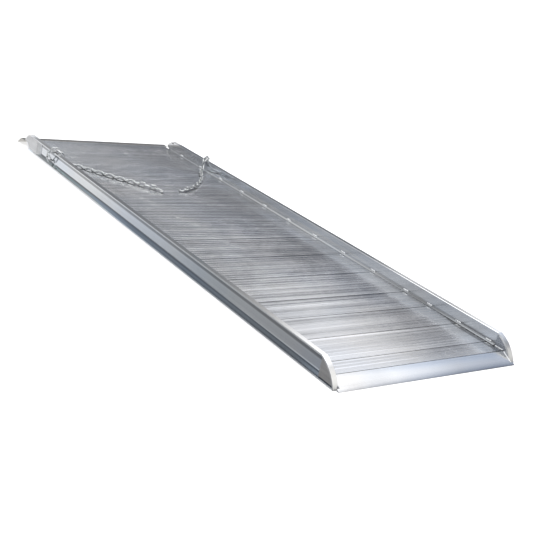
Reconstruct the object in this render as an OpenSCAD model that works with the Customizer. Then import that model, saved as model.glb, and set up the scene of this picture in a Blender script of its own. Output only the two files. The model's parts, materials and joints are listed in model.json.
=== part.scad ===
// Portable wheelchair ramp, welded from extruded aluminium planks between two channel side rails.
// Two safety chains with hooks are anchored on the rails and lie over the kerbs on the deck.
// Origin: centre of the ramp on the ground.  +X to the right when walking up, +Y uphill, +Z up.
// Parts are drawn with y = 0 at the ground edge; placed() centres them on the origin.

/* [Ramp] */
// Overall width over the side rails
ramp_w = 965; // [760:1:1200]
// Length from the ground edge to the edge of the last plank
deck_len = 2959; // [2850:1:3050]
// Height of the side rails
rail_h = 93; // [85:0.5:110]
// Height of the walking surface, on top of the ribs
deck_z = 36; // [33:0.5:40]

/* [Side rails] */
// Width of the rail's top and bottom flanges, measured from the kerb's inner face
flange_w = 24.5; // [20:0.5:30]
// Thickness of the rail's web
web_t = 6; // [4:0.5:8]
// Thickness of the top flange at its edge
flange_t = 6.6; // [5:0.2:8]
// Where the straight rail starts behind the ground edge
rail_y0 = 112; // [100:1:140]
// Where the rail's lower flange ends at the far end
rail_y1 = 2868; // [2800:1:2900]

/* [Rail noses] */
// Outside radius of the bent nose strip at the ground end
nose_r = 165; // [155:1:180]
// Slope of the ground nose where it leaves the top flange
nose_a0 = 20; // [15:1:25]
// Outside radius of the bent nose strip at the far end
far_nose_r = 84; // [70:1:95]
// Thickness of the nose strips
nose_t = 6; // [4:0.5:8]

/* [Deck planks] */
// Widths of the short planks next to the ground lip
short_planks = [84.5, 173.5, 176, 159]; // [70:0.5:230]
// Number of full-width planks
full_planks = 10; // [8:1:11]
// Pitch of the anti-slip ribs
rib_pitch = 23; // [15:0.5:30]
// Height of a rib
rib_h = 1.7; // [1:0.1:2.5]
// Thickness of the plank's top skin
skin_t = 4; // [3:0.5:6]
// Thickness of the plank's legs
leg_t = 3.2; // [2.5:0.1:5]

/* [Lips] */
// Length of the bevelled ground lip
lip_len = 66; // [50:1:90]
// Thickness of the overlap lip at the far end
overlap_t = 6; // [4:0.5:8]
// Flat length of the overlap lip before its bend
overlap_flat = 42; // [30:1:60]
// How far the bent part of the overlap lip reaches
overlap_reach = 47; // [35:1:60]

/* [Safety chains] */
// Diameter of the chain wire
wire_d = 6; // [5.6:0.1:6.2]
// Outside width of a link
link_w = 25; // [25:0.1:25.5]
// Distance from one link to the next
pitch = 31.5; // [31:0.1:32]
// Play between touching links
play = 0.9; // [0.8:0.05:1.1]

// Rise of the first links above the horizontal, from the anchor over the kerb
wrap_el = [123, 68, 45, 5, -28, -67, -44, 0]; // [-90:1:180]
// Heading of those links about the vertical, 180 being straight inboard
wrap_az = [186, 291, 241, 207, 226, 228, 236, 223]; // [0:1:360]
// Roll of those links about the chain's own line
wrap_roll = [76, -117, -5, -75, 17, -62, 61, -44]; // [-180:1:180]
// Distance from link to link where the chain bends over the kerb
wrap_step = 29.3; // [29:0.1:29.6]
// Distance of the anchor's loop from the kerb's inner face
anchor_u = 21.5; // [21.3:0.1:21.8]
// Height of the anchor's loop
anchor_z = 34.7; // [34.5:0.1:35.2]
// Distance of the left anchor from the ground edge
left_anchor_y = 2560; // [1500:1:2650]
// Distance of the right anchor from the ground edge
right_anchor_y = 2512; // [1500:1:2650]
// Links lying on the deck, left chain
left_deck_links = 16; // [12:1:16]
// Links lying on the deck, right chain
right_deck_links = 15; // [12:1:15]
// How the left chain turns from straight inboard towards the ground end: [link, angle]
left_turn = [[0, 46], [2, 53], [4, 54], [6, 53], [9, 51], [12, 51], [15, 48], [17, 46]]; // [0:1:90]
// The same for the right chain
right_turn = [[0, 56], [2, 66], [4, 59], [7, 49], [10, 47], [12, 37], [14, 27], [16, 17]]; // [0:1:90]
// Radius of the hook's bar
hook_bar = 3.5; // [3:0.1:4]
// Radius of the hook's bend
hook_bend = 11; // [9:0.5:14]

/* [Hidden] */

half_w = ramp_w / 2;
kerb_x = half_w - flange_w;                          // inner face of the kerb
total_len = deck_len + overlap_flat + overlap_reach; // to the tip of the overlap lip
rib_base = deck_z - rib_h;                           // top skin between the ribs

alloy = [0.74, 0.76, 0.79];
alloy_light = [0.84, 0.85, 0.87];
alloy_dark = [0.58, 0.61, 0.66];
zinc = [0.70, 0.73, 0.72];

/* ---------------- placing ---------------- */

module placed() {
    translate([0, -total_len / 2, 0]) children();
}

// Extrudes a side view, drawn in y and z, from x0 to x1
module side(x0, x1) {
    translate([x0, 0, 0]) rotate([90, 0, 90]) linear_extrude(height = x1 - x0) children();
}

// Extrudes a cross-section, drawn in x and z, from y0 to y1
module along_y(y0, y1) {
    translate([0, y1, 0]) rotate([90, 0, 0]) linear_extrude(height = y1 - y0) children();
}

// Puts a part on the right rail, or mirrors it to the left one.
// The part's x is u, outwards from the kerb's inner face.
module at_rail(left) {
    placed()
        if (left) mirror([1, 0, 0]) translate([kerb_x, 0, 0]) children();
        else translate([kerb_x, 0, 0]) children();
}

/* ---------------- side rails ---------------- */

low_y0 = 20;      // where the lower flange starts
web_z0 = 25;      // lower edge of the ground nose's web
far_corner_r = 30; // rounded lower corner at the far end

// centre of the ground nose's bend
ground_bow_y = rail_y0 + nose_r * sin(nose_a0);
ground_bow_z = rail_h - 0.5 - nose_r * cos(nose_a0);
// centre of the upper nose's bend
upper_bow_y = 2849;
upper_bow_z = rail_h - far_nose_r;

// Cutters across the rail's section
cut_u = -20;
cut_w = 60;

// [u, z] round the rail's section, from the foot at the deck over the kerb and down the outside
module rail_section() {
    polygon([
        // foot and kerb
        [-10, deck_z], [-10, deck_z + 2.4], [-9, deck_z + 3.6], [-1.4, deck_z + 6.2],
        [0, deck_z + 8], [0, rail_h - 1.6],
        // top flange, its edge grooved
        [1.6, rail_h], [flange_w - 1, rail_h], [flange_w, rail_h - 1],
        [flange_w, rail_h - 2.6], [flange_w - 0.8, rail_h - 3.1],
        [flange_w - 0.8, rail_h - 3.8], [flange_w, rail_h - 4.3],
        [flange_w, rail_h - flange_t], [flange_w - 0.9, rail_h - flange_t - 0.8],
        // web between its fillets
        [web_t + 3, rail_h - flange_t - 1.8], [web_t + 0.7, rail_h - flange_t - 3.2],
        [web_t, rail_h - flange_t - 5.4],
        [web_t, 26], [web_t + 1.5, 21.5], [web_t + 6, 16],
        // bottom flange, its edge grooved
        [flange_w, 9.6], [flange_w, 5.4], [flange_w - 0.8, 4.9],
        [flange_w - 0.8, 4.2], [flange_w, 3.7],
        [flange_w, 1], [flange_w - 1, 0], [0, 0], [0, deck_z]
    ]);
}

// A box across the rail at y and z, less a cylinder along X round centre = [y, z]
module box_outside_round(y, z, size_y, size_z, centre, radius, facets) {
    difference() {
        translate([cut_u, y, z]) cube([cut_w, size_y, size_z]);
        translate([cut_u - 1, centre[0], centre[1]]) rotate([0, 90, 0])
            cylinder(r = radius, h = cut_w + 2, $fn = facets);
    }
}

module rail(left) {
    color(alloy)
    at_rail(left) difference() {
        along_y(low_y0, rail_y1) rail_section();
        // the web and top flange stop where the noses take over
        translate([cut_u, -1, web_z0]) cube([cut_w, rail_y0 + 1, 80]);
        translate([cut_u, upper_bow_y, 78]) cube([cut_w, 60, 40]);
        // the lower flange is cut to the ground nose's bend
        box_outside_round(y = 10, z = -1, size_y = 26, size_z = 40,
            centre = [ground_bow_y, ground_bow_z], radius = nose_r - nose_t, facets = 96);
        // rounded lower corner at the far end
        box_outside_round(y = rail_y1 - far_corner_r, z = -1,
            size_y = far_corner_r + 1, size_z = far_corner_r + 1,
            centre = [rail_y1 - far_corner_r, far_corner_r], radius = far_corner_r, facets = 64);
    }
}

/* ---------------- noses and side plates ---------------- */

plate_t = 6;       // side plates, flush with the flanges' edges
plate_z0 = 12.8;   // their lower edge
plate_inset = 6;   // from the ground plate's uphill edge to the start of the straight rail
end_plate_y = 2752; // where the upper end plate starts
end_plate_top = rail_h - flange_t - 1.3; // stays below the straight top flange

// The upper nose ends on a ray from its bend's centre, this far from the vertical
far_sweep = 62;
far_ray = 150; // ray length, well past the nose
far_ray_end = [upper_bow_y + far_ray * sin(far_sweep), upper_bow_z + far_ray * cos(far_sweep)];
beyond_y = upper_bow_y + 110; // past the nose

module ground_bow(radius) {
    translate([ground_bow_y, ground_bow_z]) circle(r = radius, $fn = 128);
}

module upper_bow(radius) {
    translate([upper_bow_y, upper_bow_z]) circle(r = radius, $fn = 96);
}

module ground_nose_strip(left) {
    color(alloy_light)
    at_rail(left) side(0, flange_w) intersection() {
        difference() {
            ground_bow(nose_r);
            ground_bow(nose_r - nose_t);
        }
        translate([0, 0]) square([rail_y0, rail_h]);
    }
}

module ground_nose_web(left) {
    color(alloy_dark)
    at_rail(left) side(0, web_t) intersection() {
        ground_bow(nose_r - nose_t);
        translate([low_y0, web_z0]) square([rail_y0 - low_y0, rail_h]);
    }
}

module ground_nose_plate(left) {
    color(alloy)
    at_rail(left) side(flange_w - plate_t, flange_w) intersection() {
        ground_bow(nose_r - nose_t);
        translate([low_y0, plate_z0]) square([rail_y0 - low_y0 - plate_inset, rail_h]);
    }
}

module upper_nose_strip(left) {
    color(alloy_light)
    at_rail(left) side(0, flange_w) intersection() {
        difference() {
            upper_bow(far_nose_r);
            upper_bow(far_nose_r - nose_t);
        }
        polygon([
            [upper_bow_y, upper_bow_z], [upper_bow_y, rail_h + 2],
            [beyond_y, rail_h + 2], far_ray_end
        ]);
    }
}

module upper_nose_web(left) {
    color(alloy_dark)
    at_rail(left) side(0, web_t) intersection() {
        upper_bow(far_nose_r - nose_t);
        polygon([
            [rail_y1, deck_z], [rail_y1, rail_h], [beyond_y, rail_h], far_ray_end,
            [upper_bow_y + 69, 46], [rail_y1 + 20, deck_z]
        ]);
    }
}

module upper_end_plate(left) {
    color(alloy_light)
    at_rail(left) side(flange_w - plate_t, flange_w) intersection() {
        union() {
            upper_bow(far_nose_r - nose_t);
            translate([end_plate_y, plate_z0])
                square([upper_bow_y - end_plate_y, end_plate_top - plate_z0]);
        }
        polygon([
            [end_plate_y, plate_z0], [end_plate_y, end_plate_top],
            [upper_bow_y, end_plate_top], [upper_bow_y, rail_h],
            [beyond_y, rail_h], far_ray_end,
            [upper_bow_y + 68.4, 45], [2880, 38.5], [2870, 33], [2867, 22], [2862, plate_z0]
        ]);
    }
}

/* ---------------- deck ---------------- */

n_short = len(short_planks);
n_planks = n_short + full_planks;
short_sum = short_planks * [for (w = short_planks) 1];
full_w = (deck_len - lip_len - short_sum) / full_planks;

edge_gap = 0.15;  // left free at each edge of a plank
edge_drop = 2.2;  // height of the bevel at a plank's top edges
edge_bevel = 1.6; // its width
plank_z0 = 4;     // underside of the planks
floor_t = 3;      // flanges at the foot of the legs
floor_edge = 9;   // how far those flanges reach into a bay
rib_foot = 5.2;   // half the width of a rib at its base
rib_top = 3.9;    // half the width of a rib at its top

// Width and start of plank i along the ramp
function plank_w(i) = i < n_short ? short_planks[i] : full_w;
function plank_y(i) = i == 0 ? lip_len : plank_y(i - 1) + plank_w(i - 1);
function plank_color(i) = i < 2 ? alloy_light : i > 10 ? alloy_dark : alloy;

function rib_points(mid) = [
    [mid - rib_foot, rib_base], [mid - rib_top, deck_z],
    [mid + rib_top, deck_z], [mid + rib_foot, rib_base]
];

// Cross-section of a plank: ribbed skin on two or three legs.
// The last plank slopes in below the overlap lip.
module plank_section(width, last = false) {
    ribs = floor((width - 10) / rib_pitch);
    margin = (width - (ribs - 1) * rib_pitch) / 2;
    end = width - edge_gap;
    bays = width > 120 ? 2 : 1;
    bay_w = (width - 2 * edge_gap - (bays + 1) * leg_t - (last ? 40 : 0)) / bays;
    difference() {
        polygon(concat(
            [[edge_gap, rib_base - edge_drop], [edge_gap + edge_bevel, rib_base]],
            [for (i = [0 : ribs - 1]) each rib_points(margin + i * rib_pitch)],
            [[end - edge_bevel, rib_base], [end, rib_base - edge_drop]],
            last ? [[end, deck_z - overlap_t - 4], [width - 42, plank_z0]] : [[end, plank_z0]],
            [[edge_gap, plank_z0]]
        ));
        // bays between the legs, each open through a slot below
        for (b = [0 : bays - 1]) {
            y = edge_gap + leg_t + b * (bay_w + leg_t);
            translate([y, plank_z0 + floor_t])
                square([bay_w, rib_base - skin_t - plank_z0 - floor_t]);
            translate([y + floor_edge, plank_z0 - 1])
                square([bay_w - 2 * floor_edge, floor_t + 2]);
        }
    }
}

module deck_plank(i) {
    color(plank_color(i))
    placed() translate([0, plank_y(i), 0])
        side(-kerb_x, kerb_x) plank_section(plank_w(i), i == n_planks - 1);
}

/* ---------------- lips ---------------- */

lip_edge = [[0, 0.6], [0.4, 1.4], [2, 2.6]]; // [y, z] up the front edge
lip_toe = [0.6, 0];                          // where it meets the ground
lip_corner_w = 11;      // width of the front edge beyond the kerbs
lip_corner_len = 13;
overlap_inset = 5;      // overlap lip, in from the ramp's sides
overlap_top = deck_z - 0.4;

module ground_lip() {
    color(alloy_light)
    placed() {
        side(-kerb_x, kerb_x) difference() {
            polygon(concat(lip_edge, [
                [lip_len - 5, deck_z - 2.6], [lip_len - 1.6, rib_base - 0.4],
                [lip_len - edge_gap, rib_base - edge_drop], [lip_len - edge_gap, plank_z0],
                [lip_len - 6, plank_z0], [lip_len - 9, 0], lip_toe
            ]));
            // hollow inside
            polygon([[22, 4], [lip_len - 5, deck_z - 9.2], [lip_len - 4, 8], [lip_len - 9, 4]]);
        }
        // the front edge runs in front of the noses
        for (x = [-kerb_x - lip_corner_w, kerb_x])
            side(x, x + lip_corner_w)
                polygon(concat(lip_edge, [[lip_corner_len, 8.5], [lip_corner_len, 0], lip_toe]));
    }
}

module overlap_lip() {
    bend = overlap_flat;
    tip = overlap_flat + overlap_reach;
    color(alloy_light)
    placed() translate([0, deck_len, 0])
        side(-half_w + overlap_inset, half_w - overlap_inset)
            polygon([
                // upper face, down to the tip
                [0.2, overlap_top], [bend - 3, overlap_top], [bend, deck_z - 1.3],
                [bend + 2, deck_z - 2.6], [tip - 1.6, 2.2], [tip, 0.8], [tip - 0.6, 0],
                // underside, back to the deck
                [tip - 8, 0], [bend - 0.6, deck_z - overlap_t - 2.8],
                [bend - 3, overlap_top - overlap_t], [0.2, overlap_top - overlap_t]
            ]);
}

/* ---------------- welds ---------------- */

bead_len = 32;

// One bead in the corner between the kerb's foot and its face
module stitch_bead() {
    along_y(-bead_len / 2, bead_len / 2)
        polygon([
            [-5.6, deck_z + 5.0], [-1.4, deck_z + 6.3], [-0.1, deck_z + 8], [-0.1, deck_z + 14],
            [-2.2, deck_z + 13], [-4.6, deck_z + 10.4], [-6, deck_z + 7]
        ]);
}

// A bead at each joint between planks
module stitch_welds(left) {
    color(alloy_light)
    at_rail(left) for (i = [1 : n_planks - 1]) translate([0, plank_y(i), 0]) stitch_bead();
}

/* ---------------- chain links and anchors ---------------- */

link_r = (link_w - wire_d) / 2;                   // radius of a link's end bend
link_straight = pitch - 2 * link_r + wire_d + play; // straight part of a link

// Half ring of wire in the XY plane, bulging towards +x
module wire_bend() {
    rotate([0, 0, -90]) rotate_extrude(angle = 180, $fn = 48)
        translate([link_r, 0]) circle(d = wire_d, $fn = 24);
}

module wire_along_x(length) {
    rotate([0, 90, 0]) cylinder(d = wire_d, h = length, $fn = 24);
}

// A chain link along X, flat in the XY plane
module link() {
    for (turn = [0, 180]) rotate([0, 0, turn]) {
        translate([link_straight / 2, 0, 0]) wire_bend();
        translate([-link_straight / 2, link_r, 0]) wire_along_x(link_straight);
    }
}

function anchor_y(left) = left ? left_anchor_y : right_anchor_y;

// Staple welded to the web, its loop flat and facing outwards
module chain_anchor(left) {
    leg = anchor_u - link_r - web_t;
    color(zinc)
    at_rail(left) translate([anchor_u - link_r, anchor_y(left), anchor_z]) {
        wire_bend();
        for (s = [-1, 1]) translate([-leg, s * link_r, 0]) wire_along_x(leg);
    }
}

/* ---------------- path of the chains ---------------- */

// Worked out for the right rail in u, y and z; at_rail() mirrors it for the left one.
// A link's heading (az) is its angle about Z from +u, its rise (el) the angle above the
// horizontal.  The first links wrap the kerb, the rest lie on the deck.
n_wrap = len(wrap_el);
end_rise = [2, 3, 2, 0, 0]; // the last links climb a little as they turn upright
first_shift = 2.2;          // start of the first link's straight part from the anchor's loop

function n_links(left) = n_wrap + (left ? left_deck_links : right_deck_links);
function first_end_link(left) = n_links(left) - len(end_rise);

function az_of(k, left) = k < n_wrap ? wrap_az[k]
    : 180 + lookup(k - n_wrap, left ? left_turn : right_turn);

function el_of(k, left) = k < n_wrap ? wrap_el[k]
    : k < first_end_link(left) ? 0
    : end_rise[k - first_end_link(left)];

// Links on the deck lean to alternate sides; the end links roll on from there
function flat_roll(k) = (k - n_wrap) % 2 == 0 ? 45 : -45;
function end_roll(start, j) = start + j * (start > 0 ? 101.25 : 78.75);
function roll_of(k, left) = k < n_wrap ? wrap_roll[k]
    : k < first_end_link(left) ? flat_roll(k)
    : end_roll(flat_roll(first_end_link(left)), k - first_end_link(left));

function step_of(k) = k < n_wrap ? wrap_step : pitch;

// Unit vector along link k
function direction(k, left) = let (az = az_of(k, left), el = el_of(k, left))
    [cos(el) * cos(az), cos(el) * sin(az), sin(el)];

function first_point(left) = [anchor_u, anchor_y(left), anchor_z]
    + (first_shift + link_straight / 2 - wrap_step / 2) * direction(0, left);

// Where link k and each later one starts, and last where the chain ends
function starts_from(k, point, left) = k == n_links(left) ? [point]
    : concat([point], starts_from(k + 1, point + step_of(k) * direction(k, left), left));
function link_starts(left) = starts_from(0, first_point(left), left);

// Links first to last, each in its place
module chain_run(left, first, last) {
    starts = link_starts(left);
    color(zinc)
    at_rail(left) for (k = [first : last])
        translate(starts[k] + step_of(k) / 2 * direction(k, left))
            rotate([0, -el_of(k, left), az_of(k, left)]) rotate([roll_of(k, left), 0, 0]) link();
}

/* ---------------- hooks ---------------- */

eye_r = 9;      // centre line of the eye
eye_play = 0.5; // between the eye and the last link
shank_len = 21; // from the eye's centre line to the bend
hook_tilt = 9;  // the hook points down from the last link

// Closed eye, shank and open bend, flat in XY, pivoting at the origin.
// The bend curls to +y for side = 1 and to -y for side = -1.
module hook(side) {
    eye_x = link_r - wire_d / 2 - hook_bar - eye_play + eye_r;
    shank_x = eye_x + eye_r;
    translate([eye_x, 0, 0]) rotate_extrude($fn = 48)
        translate([eye_r, 0]) circle(r = hook_bar, $fn = 24);
    translate([shank_x, 0, 0]) rotate([0, 90, 0])
        cylinder(r = hook_bar - 0.3, h = shank_len, $fn = 24);
    translate([shank_x + shank_len, side * hook_bend, 0]) rotate([0, 0, side > 0 ? -98 : -110])
        rotate_extrude(angle = 208, $fn = 48)
            translate([hook_bend, 0]) circle(r = hook_bar, $fn = 24);
}

// Pivots at the centre of the last link's end bend
module chain_hook(left) {
    last = n_links(left) - 1;
    pivot = link_starts(left)[last + 1] - (pitch - link_straight) / 2 * direction(last, left);
    color(zinc)
    at_rail(left) translate(pivot) rotate([0, hook_tilt, az_of(last, left)]) hook(left ? 1 : -1);
}

/* ---------------- nodes ---------------- */

rail(true);  // left_side_rail
rail(false);  // right_side_rail
ground_nose_strip(true);  // left_ground_nose_strip
ground_nose_strip(false);  // right_ground_nose_strip
ground_nose_web(true);  // left_ground_nose_web
ground_nose_web(false);  // right_ground_nose_web
ground_nose_plate(true);  // left_ground_nose_plate
ground_nose_plate(false);  // right_ground_nose_plate
upper_nose_strip(true);  // left_upper_nose_strip
upper_nose_strip(false);  // right_upper_nose_strip
upper_nose_web(true);  // left_upper_nose_web
upper_nose_web(false);  // right_upper_nose_web
upper_end_plate(true);  // left_upper_end_plate
upper_end_plate(false);  // right_upper_end_plate
ground_lip();
overlap_lip();
deck_plank(0);  // deck_plank_01
deck_plank(1);  // deck_plank_02
deck_plank(2);  // deck_plank_03
deck_plank(3);  // deck_plank_04
deck_plank(4);  // deck_plank_05
deck_plank(5);  // deck_plank_06
deck_plank(6);  // deck_plank_07
deck_plank(7);  // deck_plank_08
deck_plank(8);  // deck_plank_09
deck_plank(9);  // deck_plank_10
deck_plank(10);  // deck_plank_11
deck_plank(11);  // deck_plank_12
deck_plank(12);  // deck_plank_13
deck_plank(13);  // deck_plank_14
stitch_welds(true);  // left_stitch_welds
stitch_welds(false);  // right_stitch_welds
chain_anchor(true);  // left_chain_anchor
chain_anchor(false);  // right_chain_anchor
chain_run(true, 0, 3);  // left_chain_riser
chain_run(true, 4, 7);  // left_chain_drop
chain_run(true, 8, 11);  // left_chain_run_1
chain_run(true, 12, 15);  // left_chain_run_2
chain_run(true, 16, 19);  // left_chain_run_3
chain_run(true, 20, n_links(true) - 1);  // left_chain_run_4
chain_hook(true);  // left_chain_hook
chain_run(false, 0, 3);  // right_chain_riser
chain_run(false, 4, 7);  // right_chain_drop
chain_run(false, 8, 11);  // right_chain_run_1
chain_run(false, 12, 15);  // right_chain_run_2
chain_run(false, 16, 19);  // right_chain_run_3
chain_run(false, 20, n_links(false) - 1);  // right_chain_run_4
chain_hook(false);  // right_chain_hook
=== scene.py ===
"""Portable aluminium wheelchair ramp, dressed around its CAD frame.

The ramp runs along Y: the ground end is at -Y and the upper end at +Y.  X runs across it (left is
-X) and Z is up.  Rails, noses, plates and lips are the CAD nodes with softened edges.  Deck planks,
weld beads, chain links, anchors and hooks are new meshes that stand for their CAD nodes and ride
on the same bodies.
"""
import json
import math
import random

import bmesh
import bpy
import numpy as np
from mathutils import Matrix, Vector, noise


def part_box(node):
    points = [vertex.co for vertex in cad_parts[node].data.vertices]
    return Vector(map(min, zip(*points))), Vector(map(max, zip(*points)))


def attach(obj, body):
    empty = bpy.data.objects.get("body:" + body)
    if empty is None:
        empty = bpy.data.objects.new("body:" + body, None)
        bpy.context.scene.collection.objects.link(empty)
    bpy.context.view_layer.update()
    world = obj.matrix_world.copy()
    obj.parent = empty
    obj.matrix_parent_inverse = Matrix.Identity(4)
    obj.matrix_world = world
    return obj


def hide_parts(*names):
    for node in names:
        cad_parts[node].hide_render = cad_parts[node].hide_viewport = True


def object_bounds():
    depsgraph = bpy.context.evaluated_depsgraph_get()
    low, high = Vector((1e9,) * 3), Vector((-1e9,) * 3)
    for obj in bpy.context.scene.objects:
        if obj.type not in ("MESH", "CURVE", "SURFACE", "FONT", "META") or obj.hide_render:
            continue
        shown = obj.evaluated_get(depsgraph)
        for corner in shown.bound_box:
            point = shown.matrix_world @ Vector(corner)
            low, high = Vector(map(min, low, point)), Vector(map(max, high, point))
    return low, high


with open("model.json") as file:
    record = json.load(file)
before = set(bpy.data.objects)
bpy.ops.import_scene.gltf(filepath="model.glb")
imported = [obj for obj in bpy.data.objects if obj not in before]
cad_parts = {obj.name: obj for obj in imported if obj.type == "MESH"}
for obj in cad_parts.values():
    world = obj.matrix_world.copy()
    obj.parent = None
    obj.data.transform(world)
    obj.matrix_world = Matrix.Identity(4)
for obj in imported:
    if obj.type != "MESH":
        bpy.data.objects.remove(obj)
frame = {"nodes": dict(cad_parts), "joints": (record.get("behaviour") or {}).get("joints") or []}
CAD_BOX = [list(v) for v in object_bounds()]
NODES = frame["nodes"]
JOINTS = {joint["name"]: joint for joint in frame["joints"]}
MM = 0.001
SIDES = {"left": -1.0, "right": 1.0}          # side -> its sign along X
scene = bpy.context.scene

# --------------------------------------------------------------- places read off the frame
PLANKS = sorted(n for n in NODES if n.startswith("deck_plank_"))
PLANK_BOX = {n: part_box(n) for n in PLANKS}
JOINT_Y = [PLANK_BOX[n][0].y for n in PLANKS[1:]]
# in millimetres
GROUND_Y = Vector(CAD_BOX[0]).y / MM                    # ground edge of the ramp
KERB_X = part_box("right_ground_nose_strip")[0].x / MM    # inner face of the kerb
DECK_Z = max(box[1].z for box in PLANK_BOX.values()) / MM


# --------------------------------------------------------------- mesh helpers
def add_object(name, data):
    obj = bpy.data.objects.new(name, data)
    scene.collection.objects.link(obj)
    return obj


def register(obj, body, replaces=None):
    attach(obj, body)
    if replaces:
        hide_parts(replaces)


def solid_mesh(name, verts, faces, material=None, sharp=None):
    """Smooth closed mesh with outward normals; edges steeper than `sharp` degrees stay crisp."""
    mesh = bpy.data.meshes.new(name)
    mesh.from_pydata([tuple(v) for v in verts], [], faces)
    mesh.validate()
    mesh.polygons.foreach_set("use_smooth", [True] * len(mesh.polygons))
    mesh.update()
    bm = bmesh.new()
    bm.from_mesh(mesh)
    bmesh.ops.recalc_face_normals(bm, faces=bm.faces)
    bm.to_mesh(mesh)
    bm.free()
    mesh.update()
    if sharp is not None:
        mesh.set_sharp_from_angle(angle=math.radians(sharp))
    if material:
        mesh.materials.append(material)
    return mesh


def join_parts(parts):
    """List of (verts, faces) -> one (verts, faces)."""
    verts, faces = [], []
    for part_verts, part_faces in parts:
        base = len(verts)
        verts.extend(part_verts)
        faces.extend([tuple(i + base for i in face) for face in part_faces])
    return verts, faces


def wall_faces(size, count, loop=False):
    """Quads between `count` stacked rings of `size` points each."""
    faces = []
    for i in range(count if loop else count - 1):
        a, b = i * size, ((i + 1) % count) * size
        for k in range(size):
            k2 = (k + 1) % size
            faces.append((a + k, a + k2, b + k2, b + k))
    return faces


def skin_rings(rings, loop=False):
    """Rings of equal length skinned into a tube, capped unless it loops back on itself."""
    size, count = len(rings[0]), len(rings)
    faces = wall_faces(size, count, loop)
    if not loop:
        faces.append(tuple(reversed(range(size))))
        faces.append(tuple((count - 1) * size + k for k in range(size)))
    return [point for ring in rings for point in ring], faces


def prism_faces(outline, count):
    """Faces of an outline repeated at `count` levels, with triangulated ends."""
    bm = bmesh.new()
    face = bm.faces.new([bm.verts.new((0, p[0], p[1])) for p in outline])
    bmesh.ops.triangulate(bm, faces=[face], quad_method="BEAUTY", ngon_method="EAR_CLIP")
    bm.verts.index_update()
    triangles = [tuple(v.index for v in t.verts) for t in bm.faces]
    bm.free()
    last = (count - 1) * len(outline)
    faces = wall_faces(len(outline), count)
    faces += [tuple(reversed(t)) for t in triangles]
    faces += [tuple(i + last for i in t) for t in triangles]
    return faces


def round_bar(points, radii, sides, normal=(0, 0, 1), squash=None):
    """Bar along points, a radius for each; squash scales the radius along the plane's normal."""
    points = [Vector(p) for p in points]
    normal = Vector(normal)
    rings = []
    for i, point in enumerate(points):
        before = points[max(0, i - 1)]
        after = points[min(len(points) - 1, i + 1)]
        tangent = (after - before).normalized()
        across = tangent.cross(normal).normalized()
        up = across.cross(tangent).normalized()
        flat = squash[i] if squash else 1.0
        rings.append([point + across * math.cos(a) * radii[i] + up * math.sin(a) * radii[i] * flat
                      for a in [2 * math.pi * k / sides for k in range(sides)]])
    return skin_rings(rings)


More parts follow.
